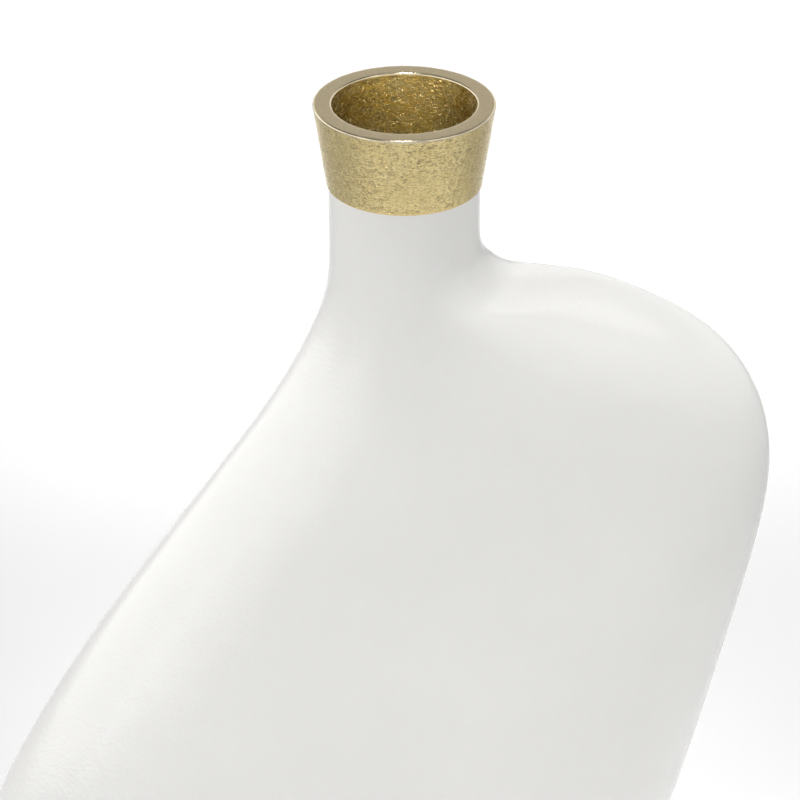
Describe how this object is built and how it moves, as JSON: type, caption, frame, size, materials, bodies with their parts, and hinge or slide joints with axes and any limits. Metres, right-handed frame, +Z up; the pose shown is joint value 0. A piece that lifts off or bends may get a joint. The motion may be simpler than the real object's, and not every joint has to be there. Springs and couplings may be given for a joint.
{
  "type": "vase",
  "caption": "Flattened, lopsided bottle vase in satin white porcelain, with an off-centre round neck and a flared, cast metal collar around its mouth.",
  "frame": {"origin": "middle of the bounding box in X and Y, on the surface the vase stands on (underside of the felt pads)", "axes": "+X to the right across the wide face, towards the shoulder; +Y from the front face to the back; +Z up, along the neck"},
  "size_m": [0.2715, 0.076, 0.3487],
  "materials": {
    "porcelain": "satin white glaze with a fine orange-peel surface",
    "collar_metal": "satin gold, with a wrinkled cast texture on its walls and a smooth rim",
    "adhesive": "cured epoxy",
    "felt": "pressed felt"
  },
  "bodies": {
    "root": {"vase_body": "porcelain", "neck_collar": "collar_metal", "collar_adhesive": "adhesive", "foot_pad_1": "felt", "foot_pad_2": "felt", "foot_pad_3": "felt", "foot_pad_4": "felt"}
  },
  "joints": []
}
